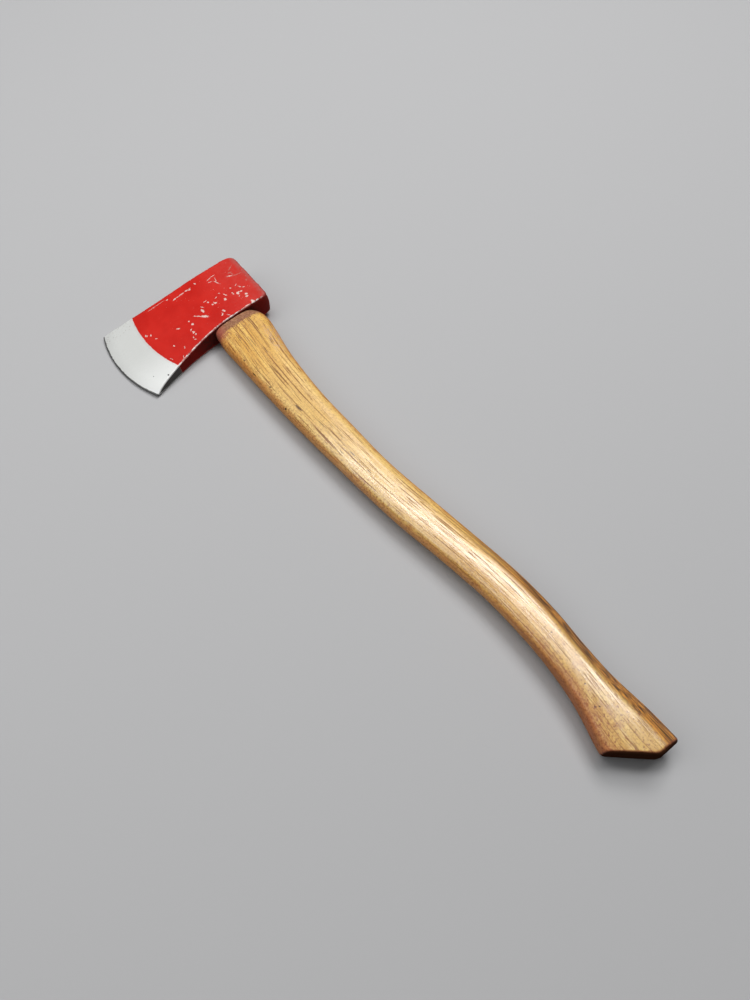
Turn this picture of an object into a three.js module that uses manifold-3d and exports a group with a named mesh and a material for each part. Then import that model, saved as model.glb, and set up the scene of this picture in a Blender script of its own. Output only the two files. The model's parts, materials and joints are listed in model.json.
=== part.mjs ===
// A single-bit fire axe: a steel head wedged on a curved hickory haft.
// Millimetres. The axe lies on its side as it rests on a floor: +X runs from the haft's knob to the
// head's crown, +Y from the poll to the cutting edge, and +Z up. The origin is on the floor under the
// middle of the axe. The pieces are drawn upright first, with x from the knob's upper rim, y from the
// poll face and z from mid-thickness, and are then rolled on to the head's lower cheek.
import * as THREE from "three";
import { mergeVertices } from "three/addons/utils/BufferGeometryUtils.js";
import Module from "manifold-3d";

const wasm = await Module();
wasm.setup();

// Whole axe
const toeX = 618.5; // the head's furthest point from the knob
const headLength = 162; // poll face to the furthest point of the cutting edge
const headThickness = 27; // across the cheeks at the eye
const seam = 0.3; // clearance between pieces that fit together
const past = 12; // how far cutting shapes run beyond what they cut
const weldDistance = 1e-4; // corners nearer than this are one corner

// Head in plan
const undersideX = 544.3;
const crownX = 611.8; // at the poll
const crownFarX = 620; // where the crown's outward lean would take it, past the toe
const throatY = 50; // where the straight underside starts to flare
const throatReach = 40; // how gently the flare starts
const heel = { x: 522.4, y: 147.3 };
const crownCornerRadius = 8;
const undersideCornerRadius = 6;
const edgeRadius = 120;
const edgeMiddleX = 578.5;
const edgeFacets = 128; // round the whole circle that the cutting edge is part of
const arcFacets = 16;

// Head across its thickness
const cheekEndY = 46; // the cheeks are parallel up to here and taper to the bit from here
const bitThickness = 3.5; // what the taper would reach at the furthest point of the edge
const edgeThickness = 1;
const bevelSlope = 0.35; // rise of the ground bevel on each side of the edge

// Eye: an oval hole through the head, wider at the crown so that the wedges hold
const eyeMiddleY = 44;
const eyeStartX = 540;
const eyeAtUnderside = { halfLength: 22, halfWidth: 7.9 };
const eyeAtCrown = { halfLength: 23.5, halfWidth: 9 };
const eyeSquareness = 2.3;

// Haft: x, y of the side towards the poll, y of the side towards the bit
const haftStations = [
  [-2.5, 0, 54.5],
  [26, 0.7, 52],
  [62, 3.5, 42.5],
  [92, 3, 38],
  [126, 1.5, 36.5],
  [171, 3.5, 38.5],
  [221, 9.5, 45],
  [271, 16, 53],
  [321, 22, 58],
  [371, 23.8, 62],
  [421, 25, 65],
  [471, 22, 66.7],
  [506, 16.5, 67.5],
  [524, 14.3, 68],
  [535, 16, 67],
];
const haftSteps = 60;
const knob = { thickness: 29.6, squareness: 3, endX: 110 };
const grip = { thickness: 23, squareness: 2.3 };
const shoulder = { thickness: 24.5, squareness: 3.2, startX: 230, fullX: 520 };
const tongueStartX = 542.5;
const tongueEndX = 614;
// The long slanted cut across the knob's end, between these two corners
const knobFacet = { fromX: -2.5, fromY: 22.7, toX: 25, toY: 53.5 };
const ringSides = 36;

// Wedges in the tongue's end grain
const woodWedge = { endX: tongueEndX, depth: 44, thickness: 5, tip: 1.4, halfLength: 21.8 };
const steelWedge = { endX: tongueEndX + 0.5, depth: 17, thickness: 2.6, tip: 0.8, halfLength: 6.5 };
const steelWedgeOffset = 10.5; // from the eye's middle

const enamel = new THREE.MeshStandardMaterial({ color: 0xd0201c, roughness: 0.38, metalness: 0 });
const hickory = new THREE.MeshStandardMaterial({ color: 0xcf9243, roughness: 0.35, metalness: 0 });
const wedgeWood = new THREE.MeshStandardMaterial({ color: 0xc9a36a, roughness: 0.6, metalness: 0 });
const wedgeSteel = new THREE.MeshStandardMaterial({ color: 0x8b8d8f, roughness: 0.45, metalness: 1 });

const { smoothstep, lerp } = THREE.MathUtils;

/** A closed geometry as a solid that can be cut and joined. */
function toSolid(geometry) {
  geometry.deleteAttribute("normal");
  geometry.deleteAttribute("uv");
  const merged = mergeVertices(geometry, weldDistance);
  const vertProperties = new Float32Array(merged.attributes.position.array);
  const triVerts = new Uint32Array(merged.index.array);
  return new wasm.Manifold(new wasm.Mesh({ numProp: 3, vertProperties, triVerts }));
}

/** A solid as a named mesh. */
function toMesh(name, solid, material) {
  const { vertProperties, triVerts } = solid.getMesh();
  const geometry = new THREE.BufferGeometry();
  geometry.setAttribute("position", new THREE.BufferAttribute(vertProperties, 3));
  geometry.setIndex(new THREE.BufferAttribute(triVerts, 1));
  geometry.computeVertexNormals();
  const mesh = new THREE.Mesh(geometry, material);
  mesh.name = name;
  return mesh;
}

/** A shape drawn in x and y, made as thick as wanted about z = 0. */
function slab(shape, thickness) {
  const geometry = new THREE.ExtrudeGeometry(shape, {
    depth: thickness,
    bevelEnabled: false,
    curveSegments: arcFacets,
  });
  return toSolid(geometry.translate(0, 0, -thickness / 2));
}

/** A coordinate of a superellipse: the cosine or sine of its angle, pushed outward by its squareness. */
function squared(value, squareness) {
  return Math.sign(value) * Math.abs(value) ** (2 / squareness);
}

/** A closed bar along X with an oval section at each of its sections. */
function ovalBar(sections) {
  const steps = sections.length - 1;
  const bar = new THREE.CylinderGeometry(1, 1, 1, ringSides, steps);
  bar.rotateZ(-Math.PI / 2);
  const place = bar.attributes.position;
  for (let i = 0; i < place.count; i += 1) {
    const section = sections[Math.round((place.getX(i) + 0.5) * steps)];
    const { x, low, high, halfThickness, squareness } = section;
    const across = squared(place.getY(i), squareness) * (high - low) / 2;
    const up = squared(place.getZ(i), squareness) * halfThickness;
    place.setXYZ(i, x, (low + high) / 2 + across, up);
  }
  return toSolid(bar);
}

/** The head's outline seen from the side, run past the cutting edge. */
function headPlan() {
  const farY = headLength + past;
  const plan = new THREE.Shape();
  plan.moveTo(undersideX + undersideCornerRadius, 0);
  plan.lineTo(crownX - crownCornerRadius, 0);
  plan.absarc(crownX - crownCornerRadius, crownCornerRadius, crownCornerRadius, -Math.PI / 2, 0);
  plan.quadraticCurveTo(crownX, farY / 2, crownFarX, farY);
  plan.lineTo(heel.x - past, farY);
  plan.lineTo(heel.x - past, heel.y + 2 * past);
  plan.lineTo(heel.x, heel.y);
  plan.quadraticCurveTo(undersideX, throatY + throatReach, undersideX, throatY);
  plan.lineTo(undersideX, undersideCornerRadius);
  plan.quadraticCurveTo(undersideX, 0, undersideX + undersideCornerRadius, 0);
  return plan;
}

/** The head's thickness seen from the crown, a bar along X: parallel cheeks, then a straight taper. */
function cheekBar() {
  const farY = headLength + past;
  const taper = (headThickness - bitThickness) / (headLength - cheekEndY);
  const farThickness = bitThickness - taper * past;
  const end = new THREE.Shape();
  end.moveTo(-past, -headThickness / 2);
  end.lineTo(cheekEndY, -headThickness / 2);
  end.lineTo(farY, -farThickness / 2);
  end.lineTo(farY, farThickness / 2);
  end.lineTo(cheekEndY, headThickness / 2);
  end.lineTo(-past, headThickness / 2);
  const bar = new THREE.ExtrudeGeometry(end, { depth: toeX, bevelEnabled: false });
  bar.applyMatrix4(new THREE.Matrix4().set(
    0, 0, 1, past,
    1, 0, 0, 0,
    0, 1, 0, 0,
    0, 0, 0, 1,
  ));
  return toSolid(bar);
}

/** A disc with sloping faces, whose rim is the cutting edge and whose slopes are the ground bevel. */
function edgeDisc() {
  const rimHalf = edgeThickness / 2;
  const middleHalf = rimHalf + bevelSlope * edgeRadius;
  const profile = [
    new THREE.Vector2(0, -middleHalf),
    new THREE.Vector2(edgeRadius, -rimHalf),
    new THREE.Vector2(edgeRadius, rimHalf),
    new THREE.Vector2(0, middleHalf),
  ];
  const disc = new THREE.LatheGeometry(profile, edgeFacets).rotateX(Math.PI / 2);
  return toSolid(disc.translate(edgeMiddleX, headLength - edgeRadius, 0));
}

/** A section of the eye between its underside and crown sizes, drawn in by some clearance. */
function eyeSection(x, clearance) {
  const share = (x - tongueStartX) / (toeX - tongueStartX);
  const halfLength = lerp(eyeAtUnderside.halfLength, eyeAtCrown.halfLength, share) - clearance;
  const halfThickness = lerp(eyeAtUnderside.halfWidth, eyeAtCrown.halfWidth, share) - clearance;
  const low = eyeMiddleY - halfLength;
  const high = eyeMiddleY + halfLength;
  return { x, low, high, halfThickness, squareness: eyeSquareness };
}

/** The haft's sections from the knob to the shoulder. */
function haftSections() {
  const points = haftStations.map(([x, low, high]) => new THREE.Vector3(x, low, high));
  const sides = new THREE.CatmullRomCurve3(points);
  return sides.getPoints(haftSteps).map(({ x, y: low, z: high }) => {
    const knobShare = 1 - smoothstep(x, 0, knob.endX);
    const shoulderShare = smoothstep(x, shoulder.startX, shoulder.fullX);
    const blend = (key) => grip[key]
      + (knob[key] - grip[key]) * knobShare
      + (shoulder[key] - grip[key]) * shoulderShare;
    return { x, low, high, halfThickness: blend("thickness") / 2, squareness: blend("squareness") };
  });
}

/**
 * A plate that tapers from its outer end towards the knob, extruded along z about z = 0. Its cutter is
 * grown by some clearance and runs on out of the tongue's end.
 */
function taperedPlate({ endX, depth, thickness, tip, halfLength }, cutter = false) {
  const growth = cutter ? seam : 0;
  const innerX = endX - depth - growth;
  const side = new THREE.Shape();
  side.moveTo(innerX, -tip / 2 - growth);
  side.lineTo(endX, -thickness / 2 - growth);
  if (cutter) {
    side.lineTo(endX + past, -thickness / 2 - growth);
    side.lineTo(endX + past, thickness / 2 + growth);
  }
  side.lineTo(endX, thickness / 2 + growth);
  side.lineTo(innerX, tip / 2 + growth);
  const run = 2 * (halfLength + growth);
  const plate = new THREE.ExtrudeGeometry(side, { depth: run, bevelEnabled: false });
  return plate.translate(0, 0, -run / 2);
}

/** The wooden wedge, which lies along the eye. */
function woodWedgeShape() {
  return toSolid(taperedPlate(woodWedge).rotateX(Math.PI / 2).translate(0, eyeMiddleY, 0));
}

/** The kerf sawn right across the tongue for the wooden wedge. */
function kerfShape() {
  const sawn = { ...woodWedge, halfLength: woodWedge.halfLength + past };
  return toSolid(taperedPlate(sawn, true).rotateX(Math.PI / 2).translate(0, eyeMiddleY, 0));
}

/** A steel wedge driven across the wooden one, or the slot that it makes. */
function steelWedgeShape(middleY, cutter) {
  return toSolid(taperedPlate(steelWedge, cutter).translate(0, middleY, 0));
}

function makeHead() {
  const eye = ovalBar([eyeSection(eyeStartX, 0), eyeSection(toeX + past, 0)]);
  const blank = cheekBar().intersect(slab(headPlan(), 2 * headThickness)).intersect(edgeDisc());
  return toMesh("axe_head", blank.subtract(eye), enamel);
}

function makeHaft() {
  const tongue = [eyeSection(tongueStartX, seam), eyeSection(tongueEndX, seam)];
  const blank = ovalBar([...haftSections(), ...tongue]);
  const { fromX, fromY, toX, toY } = knobFacet;
  const slope = (toY - fromY) / (toX - fromX);
  const offcut = new THREE.Shape();
  offcut.moveTo(fromX - past, fromY - past * slope);
  offcut.lineTo(toX + past, toY + past * slope);
  offcut.lineTo(fromX - past, toY + past * slope);
  const cutters = [slab(offcut, 2 * headThickness), kerfShape(), ...steelSlots];
  return toMesh("haft", cutAll(blank, cutters), hickory);
}

const steelWedges = [
  ["steel_wedge_front", eyeMiddleY + steelWedgeOffset],
  ["steel_wedge_rear", eyeMiddleY - steelWedgeOffset],
];
const steelSlots = steelWedges.map(([, middleY]) => steelWedgeShape(middleY, true));
const cutAll = (wood, cutters) => cutters.reduce((rest, cutter) => rest.subtract(cutter), wood);

const axe = new THREE.Group();
axe.name = "fire_axe";
axe.add(makeHead());
axe.add(makeHaft());
axe.add(toMesh("eye_wedge", cutAll(woodWedgeShape(), steelSlots), wedgeWood));
for (const [name, middleY] of steelWedges) {
  axe.add(toMesh(name, steelWedgeShape(middleY, false), wedgeSteel));
}
axe.rotation.x = -Math.atan2((headThickness - bitThickness) / 2, headLength - cheekEndY);

const box = new THREE.Box3().setFromObject(axe, true);
const middle = box.getCenter(new THREE.Vector3());
axe.position.set(-middle.x, -middle.y, -box.min.z);

export default axe;
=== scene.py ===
import json
import math
import random
from types import SimpleNamespace

import bmesh
import bpy
import numpy as np
from mathutils import Matrix, Vector, noise


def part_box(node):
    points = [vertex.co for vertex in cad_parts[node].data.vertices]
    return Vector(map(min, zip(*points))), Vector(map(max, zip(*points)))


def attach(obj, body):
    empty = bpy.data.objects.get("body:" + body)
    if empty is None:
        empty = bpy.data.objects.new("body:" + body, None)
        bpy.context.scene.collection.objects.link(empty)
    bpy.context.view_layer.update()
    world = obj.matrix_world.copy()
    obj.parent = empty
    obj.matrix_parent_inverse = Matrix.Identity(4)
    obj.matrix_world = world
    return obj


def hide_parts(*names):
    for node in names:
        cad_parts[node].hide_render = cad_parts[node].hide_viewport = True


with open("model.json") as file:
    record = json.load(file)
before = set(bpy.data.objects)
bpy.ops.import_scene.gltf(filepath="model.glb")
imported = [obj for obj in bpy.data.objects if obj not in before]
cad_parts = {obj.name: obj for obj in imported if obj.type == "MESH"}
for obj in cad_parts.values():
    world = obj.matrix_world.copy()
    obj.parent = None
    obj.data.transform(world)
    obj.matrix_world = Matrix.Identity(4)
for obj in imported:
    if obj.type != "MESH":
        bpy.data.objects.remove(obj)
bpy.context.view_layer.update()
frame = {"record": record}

MM = 0.001
KNOB_DOME = 2.5  # how far the knob's end bulges beyond its upper and lower rims
SEAM = 0.3  # the gap between the eye, the tongue and the wedges

# The axe is drawn upright, as the CAD source draws it: x from the knob's rim, y from the poll face and z
# from mid-thickness, in millimetres. The record's poll face gives its roll and its place on the floor.
poll = next(m for m in frame["record"]["mounts"] if m["name"] == "poll_face")
roll = math.atan2(-poll["axis"][2], -poll["axis"][1])
drawn_origin = Vector((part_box("haft")[0].x + KNOB_DOME * MM, poll["pos_m"][1], poll["pos_m"][2]))
PLACE = Matrix.Translation(drawn_origin) @ Matrix.Rotation(roll, 4, "X")

# The head's outline
UNDERSIDE_X = 544.3
CROWN_X = 611.8
CROWN_CORNER = 8
UNDERSIDE_CORNER = 6
CROWN_FAR = (620, 174)  # where the crown's line would end if the edge didn't cut it off
HEEL = (522.4, 147.3)
THROAT_Y = 50
THROAT_PULL = (544.3, 90)
HEAD_LENGTH = 162
EDGE_MIDDLE = (578.5, 42)
EDGE_RADIUS = 120

# The head's thickness
CHEEK_END_Y = 46
CHEEK_HALF = 13.5
BIT_HALF = 1.75
EDGE_HALF = 0.45
BEVEL_SLOPE = 0.35
TAPER_BLEND = 1.4
BEVEL_BLEND = 1.3
CHEEK_CROWNING = 0.35
CHEEK_MIDDLE_X = (578, 574)  # at the poll and at the bit
POLL_RIM_RADIUS = 3.6
RIM_RADIUS = 1.1
POLL_BULGE = 0.9

# The eye: its middle, and its half length and half width near the underside and near the crown
EYE_MIDDLE_Y = 44
EYE_XS = (542.5, 618.5)
EYE_HALF_LENGTHS = (22, 23.5)
EYE_HALF_WIDTHS = (7.9, 9)
EYE_SQUARENESS = 2.3


def smoothstep(value, start, end):
    share = min(max((value - start) / (end - start), 0.0), 1.0)
    return share * share * (3 - 2 * share)


def soft_min(a, b, blend):
    """The lower of two heights, with the crease between them rounded off over some height."""
    share = max(blend - abs(a - b), 0.0) / blend
    return min(a, b) - share * share * blend / 4


def lerp(a, b, share):
    return a + (b - a) * share


def quadratic(start, pull, end, steps):
    """Points along a quadratic curve."""
    points = []
    for i in range(steps + 1):
        t = i / steps
        points.append(tuple(
            (1 - t) ** 2 * p + 2 * t * (1 - t) * q + t * t * r
            for p, q, r in zip(start, pull, end)
        ))
    return points


def resample(points, count):
    """The same line as evenly spaced points."""
    line = np.array(points, float)
    steps = np.r_[0, np.cumsum(np.linalg.norm(np.diff(line, axis=0), axis=1))]
    at = np.linspace(0, steps[-1], count)
    return np.stack([np.interp(at, steps, line[:, k]) for k in range(line.shape[1])], axis=1)


def make_object(name, points, faces):
    """A new object from points in drawn millimetres."""
    mesh = bpy.data.meshes.new(name)
    mesh.from_pydata([tuple(c * MM for c in p) for p in points], [], faces)
    mesh.validate()
    shape = bmesh.new()
    shape.from_mesh(mesh)
    bmesh.ops.remove_doubles(shape, verts=shape.verts, dist=0.002 * MM)
    bmesh.ops.recalc_face_normals(shape, faces=shape.faces)
    shape.to_mesh(mesh)
    shape.free()
    made = bpy.data.objects.new(name, mesh)
    bpy.context.scene.collection.objects.link(made)
    return made


def cut(piece, cutter):
    """Takes a cutter away from a piece, and then deletes the cutter."""
    modifier = piece.modifiers.new("cut", "BOOLEAN")
    modifier.operation = "DIFFERENCE"
    modifier.solver = "EXACT"
    modifier.object = cutter
    bpy.context.view_layer.update()
    result = bpy.data.meshes.new_from_object(piece.evaluated_get(bpy.context.evaluated_depsgraph_get()))
    piece.modifiers.clear()
    old = piece.data
    name = old.name
    piece.data = result
    bpy.data.meshes.remove(old)
    result.name = name
    bpy.data.objects.remove(cutter)


def smooth_shade(piece, degrees):
    """Smooth shading with the edges sharper than an angle kept sharp."""
    mesh = piece.data
    mesh.polygons.foreach_set("use_smooth", [True] * len(mesh.polygons))
    shape = bmesh.new()
    shape.from_mesh(mesh)
    limit = math.radians(degrees)
    for edge in shape.edges:
        edge.smooth = len(edge.link_faces) == 2 and edge.calc_face_angle(0) < limit
    shape.to_mesh(mesh)
    shape.free()


def put_attribute(piece, name, kind, values):
    """A value for every vertex, which the materials read by name."""
    layer = piece.data.attributes.new(name, kind, "POINT")
    layer.data.foreach_set("vector" if kind == "FLOAT_VECTOR" else "value", np.ravel(values))


def drawn_points(piece):
    """A piece's vertices in drawn millimetres."""
    places = np.empty(len(piece.data.vertices) * 3)
    piece.data.vertices.foreach_get("co", places)
    return places.reshape(-1, 3) / MM


# ---------------------------------------------------------------- head

ACROSS, ALONG = 116, 210  # points along the head's short and long sides
WEAR_REACH = 2.2  # how far from a rim its wear reaches


def head_outline():
    """The head's four sides seen from above, each from its lower to its higher x or y."""
    corner = []
    for i in range(13):
        angle = math.radians(-90 + 90 * i / 12)
        corner.append((
            CROWN_X - CROWN_CORNER + CROWN_CORNER * math.cos(angle),
            CROWN_CORNER + CROWN_CORNER * math.sin(angle),
        ))
    crown = corner[6:] + quadratic((CROWN_X, CROWN_CORNER), (CROWN_X, CROWN_FAR[1] / 2), CROWN_FAR, 200)[1:]
    inside = [p for p in crown if math.dist(p, EDGE_MIDDLE) < EDGE_RADIUS]
    toe_angle = math.atan2(inside[-1][1] - EDGE_MIDDLE[1], inside[-1][0] - EDGE_MIDDLE[0])
    heel_angle = math.atan2(HEEL[1] - EDGE_MIDDLE[1], HEEL[0] - EDGE_MIDDLE[0])
    edge = []
    for i in range(201):
        angle = lerp(heel_angle, toe_angle, i / 200)
        edge.append((
            EDGE_MIDDLE[0] + EDGE_RADIUS * math.cos(angle),
            EDGE_MIDDLE[1] + EDGE_RADIUS * math.sin(angle),
        ))
    crown_side = inside + [edge[-1]]
    near = quadratic(
        (UNDERSIDE_X, UNDERSIDE_CORNER), (UNDERSIDE_X, 0), (UNDERSIDE_X + UNDERSIDE_CORNER, 0), 12)
    flare = quadratic((UNDERSIDE_X, THROAT_Y), THROAT_PULL, edge[0], 120)
    underside = near[6::-1] + [(UNDERSIDE_X, THROAT_Y)] + flare[1:]
    poll_side = near[6:] + corner[:7]
    return (
        resample(poll_side, ACROSS),
        resample(crown_side, ALONG),
        resample(edge, ACROSS),
        resample(underside, ALONG),
    )


def cheek_height(x, y):
    """Half the head's thickness: parallel cheeks, the taper and the ground bevel, blended softly."""
    taper = BIT_HALF + (CHEEK_HALF - BIT_HALF) * (HEAD_LENGTH - y) / (HEAD_LENGTH - CHEEK_END_Y)
    height = soft_min(CHEEK_HALF, taper, TAPER_BLEND)
    from_edge = EDGE_RADIUS - math.dist((x, y), EDGE_MIDDLE)
    bevel = EDGE_HALF + BEVEL_SLOPE * max(from_edge, 0)
    height = soft_min(height, bevel, BEVEL_BLEND)
    middle = lerp(*CHEEK_MIDDLE_X, y / HEAD_LENGTH)
    crowned = CHEEK_CROWNING * smoothstep(abs(x - middle), 12, 46) * min(height / CHEEK_HALF, 1)
    dents = 0.05 * (noise.noise(Vector((x * 0.06, y * 0.06, 3.1))) - 1)
    return max(height - crowned + dents, 0.3)


def outward(points, closed_before, closed_after):
    """Unit normals to the right of a line's direction, averaged at its ends with its neighbours'."""
    line = np.vstack([closed_before, points, closed_after])
    run = line[2:] - line[:-2]
    run /= np.linalg.norm(run, axis=1)[:, None]
    return np.stack([run[:, 1], -run[:, 0]], axis=1)


def rim_radius(x, y):
    """The radius of the rounding between a cheek and a wall, larger at the poll and a little uneven."""
    wander = noise.noise(Vector((x * 0.13, y * 0.13, 0.4)))
    wander += 0.5 * noise.noise(Vector((x * 0.5, y * 0.5, 7)))
    radius = lerp(POLL_RIM_RADIUS, RIM_RADIUS, smoothstep(y, 0, 14)) * (1 + 0.4 * wander)
    return min(radius, 0.45 * cheek_height(x, y))


def cheek_patch(low, high, left, right):
    """A grid of points between four sides, each given from its lower to its higher end."""
    u = np.linspace(0, 1, ACROSS)[None, :, None]
    v = np.linspace(0, 1, ALONG)[:, None, None]
    return (
        (1 - v) * low[None] + v * high[None] + (1 - u) * left[:, None] + u * right[:, None]
        - (1 - u) * (1 - v) * low[0] - u * (1 - v) * low[-1]
        - (1 - u) * v * high[0] - u * v * high[-1]
    )


def wall_rings(loop, inner, normals, radii):
    """Rings of plan places and heights from the upper cheek's border round the walls to the lower's."""
    round_steps, wall_steps = 5, 10
    tops = np.array([cheek_height(*p) for p in inner]) - radii
    rounded = []
    for k in range(round_steps + 1):
        angle = math.pi / 2 * k / round_steps
        rounded.append((inner + (loop - inner) * math.sin(angle), tops + radii * math.cos(angle)))
    near_poll = np.array([1 - smoothstep(y, 6, 16) for _, y in loop])[:, None]
    rings = list(rounded)
    for k in range(1, wall_steps):
        level = 1 - 2 * k / wall_steps
        rings.append((loop + normals * near_poll * POLL_BULGE * (1 - level ** 2), tops * level))
    return rings + [(plan, -z) for plan, z in rounded[::-1]]


def make_head():
    poll_side, crown_side, edge_side, underside = head_outline()
    loop = np.vstack([poll_side[:-1], crown_side[:-1], edge_side[::-1][:-1], underside[::-1][:-1]])
    normals = outward(loop, loop[-1:], loop[:1])
    count = len(loop)
    toe, heel = ACROSS - 1 + ALONG - 1, 2 * (ACROSS - 1) + ALONG - 1
    radii = np.array([rim_radius(x, y) for x, y in loop])
    inset = radii.copy()
    inset[[toe, heel]] *= 1.35
    inner = loop - normals * inset[:, None]
    patch = cheek_patch(
        inner[:ACROSS],
        inner[toe:heel + 1][::-1],
        np.vstack([inner[heel:], inner[:1]])[::-1],
        inner[ACROSS - 1:ACROSS + ALONG - 1],
    )
    heights = [[cheek_height(x, y) for x, y in row] for row in patch]
    points, faces = [], []
    for side in (1, -1):
        start = len(points)
        for row, row_heights in zip(patch, heights):
            points += [(x, y, side * z) for (x, y), z in zip(row, row_heights)]
        for j in range(ALONG - 1):
            for i in range(ACROSS - 1):
                a = start + j * ACROSS + i
                faces.append((a, a + 1, a + ACROSS + 1, a + ACROSS))
    rings = wall_rings(loop, inner, normals, radii)
    start = len(points)
    for plan, z in rings:
        points += [(x, y, h) for (x, y), h in zip(plan, z)]
    for k in range(len(rings) - 1):
        for i in range(count):
            a = start + k * count + i
            b = start + k * count + (i + 1) % count
            faces.append((a, b, b + count, a + count))
    head = make_object("axe_head_forged", points, faces)
    cut(head, make_eye_cutter())
    smooth_shade(head, 38)
    mark_head(head, loop)
    return head


def eye_section(x, clearance):
    """Half length and half width of the eye at some x, drawn in by a clearance."""
    share = (x - EYE_XS[0]) / (EYE_XS[1] - EYE_XS[0])
    return lerp(*EYE_HALF_LENGTHS, share) - clearance, lerp(*EYE_HALF_WIDTHS, share) - clearance


def oval(turn, squareness):
    """A point on an oval of half length and half width 1, at a turn from 0 to 1 round it."""
    c, s = math.cos(2 * math.pi * turn), math.sin(2 * math.pi * turn)
    return math.copysign(abs(c) ** (2 / squareness), c), math.copysign(abs(s) ** (2 / squareness), s)


def skin(rings):
    """Points and faces of a closed tube through rings of the same length, with flat ends."""
    sides = len(rings[0])
    points = [p for ring in rings for p in ring]
    faces = []
    for k in range(len(rings) - 1):
        for i in range(sides):
            a, b = k * sides + i, k * sides + (i + 1) % sides
            faces.append((a, b, b + sides, a + sides))
    faces.append(tuple(range(sides)))
    faces.append(tuple(range((len(rings) - 1) * sides, len(rings) * sides)))
    return points, faces


def make_eye_cutter():
    """The oval eye, opened out a little at both mouths so that their rims are broken."""
    sides = 72
    rings = []
    for x, grow in ((536, 1.2), (543.6, 1.0), (545.6, 0), (560, 0), (580, 0), (600, 0), (610.6, 0),
                    (612.4, 0.9), (626, 1.2)):
        half_y, half_z = eye_section(x, -grow)
        around = [oval(i / sides, EYE_SQUARENESS) for i in range(sides)]
        rings.append([(x, EYE_MIDDLE_Y + across * half_y, up * half_z) for across, up in around])
    return make_object("eye_cutter", *skin(rings))


def mark_head(head, loop):
    """Stores each vertex's wear, 1 on the cheeks' rounded rims, and whether it is on a wall between them."""
    points = drawn_points(head)
    wear = np.zeros(len(points))
    wall = np.zeros(len(points))
    batch = 4000
    for start in range(0, len(points), batch):
        part = points[start:start + batch]
        gap = np.linalg.norm(part[:, None, :2] - loop[None], axis=2).min(1)
        drop = np.array([cheek_height(x, y) for x, y in part[:, :2]]) - np.abs(part[:, 2])
        wear[start:start + batch] = np.clip(1 - np.hypot(gap, drop) / WEAR_REACH, 0, 1)
        wall[start:start + batch] = np.clip((drop - 0.9) / 1.2, 0, 1) * (gap < POLL_BULGE + 0.4)
    put_attribute(head, "wear", "FLOAT", wear)
    put_attribute(head, "wall", "FLOAT", wall)


# ---------------------------------------------------------------- haft

# x, and the y of the poll side and the bit side
HAFT_STATIONS = [
    (0, 0, 53.5), (26, 0.7, 52), (62, 3.5, 42.5), (92, 3, 38), (126, 1.5, 36.5), (171, 3.5, 38.5),
    (221, 9.5, 45), (271, 16, 53), (321, 22, 58), (371, 23.8, 62), (421, 25, 65), (471, 22, 66.7),
    (506, 16.2, 67.5), (524, 13.5, 68), (536, 14.3, 67.2),
]
GRIP_THICK = 23
KNOB_THICK = 28.9
SHOULDER_THICK = 24.5
CHAMFER_ANGLE = math.radians(46)
CHAMFER_SHARPNESS = 14
RIDGE_X = 533.3  # where the shoulder's bevel starts
TONGUE_START_X = 543.4
TONGUE_END_X = 614
KNOB_CORNER_Y = 22
KNOB_CORNER_BLEND = 2.5
KNOB_SLOPE = 28 / 31.5
KNOB_END_RADIUS = 3.0
DOME_HALF = 14.8  # the height above and below the middle where the knob's dome ends
KNOB_RIM_REACH = 3.2  # how far from the knob's end its darkened rim reaches
RING_SIDES = 112


def side_lines():
    """x, and the y of both sides of the haft, along a smooth curve through the stations."""
    knots = [np.array(s, float) for s in HAFT_STATIONS]
    knots = [2 * knots[0] - knots[1], *knots, 2 * knots[-1] - knots[-2]]
    line = []
    for p0, p1, p2, p3 in zip(knots, knots[1:], knots[2:], knots[3:]):
        for step in range(24):
            t = step / 24
            line.append(0.5 * (
                2 * p1 + (p2 - p0) * t + (2 * p0 - 5 * p1 + 4 * p2 - p3) * t ** 2
                + (3 * p1 - p0 - 3 * p2 + p3) * t ** 3
            ))
    line.append(knots[-2])
    return np.array(line).T


SIDE_X, SIDE_LOW, SIDE_HIGH = side_lines()


def haft_section(x):
    """The haft's section at some x: its sides, half thickness, squareness and poll-side chamfer."""
    knob = 1 - smoothstep(x, 0, 110)
    long_knob = 1 - smoothstep(x, 95, 190)
    shoulder = smoothstep(x, 230, 520)
    low = float(np.interp(x, SIDE_X, SIDE_LOW))
    high = float(np.interp(x, SIDE_X, SIDE_HIGH))
    thick = GRIP_THICK + (KNOB_THICK - GRIP_THICK) * knob + (SHOULDER_THICK - GRIP_THICK) * shoulder
    return {
        "low": low,
        "high": high,
        "half": thick / 2,
        "square_low": 2.3 + 0.5 * knob + 0.7 * shoulder,
        "square_high": 2.6 + 1.6 * long_knob + 0.8 * shoulder,
        "chamfer": 4 + 6 * long_knob + 4 * smoothstep(x, 440, 520),
        "chamfer_strength": max(long_knob, 0.85 * smoothstep(x, 440, 520)),
    }


def tongue_section(x):
    """The section of the tongue, which fills the eye but for the seam."""
    half_y, half_z = eye_section(x, SEAM)
    return {
        "low": EYE_MIDDLE_Y - half_y,
        "high": EYE_MIDDLE_Y + half_y,
        "half": half_z,
        "square_low": EYE_SQUARENESS,
        "square_high": EYE_SQUARENESS,
        "chamfer": 4,
        "chamfer_strength": 0,
    }


# The section where the shoulder's bevel stops, just short of the head
SHOULDER_END = {
    "low": 19.4,
    "high": 66.4,
    "half": 10.6,
    "square_low": 2.9,
    "square_high": 3.1,
    "chamfer": 8,
    "chamfer_strength": 0.6,
}


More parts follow.
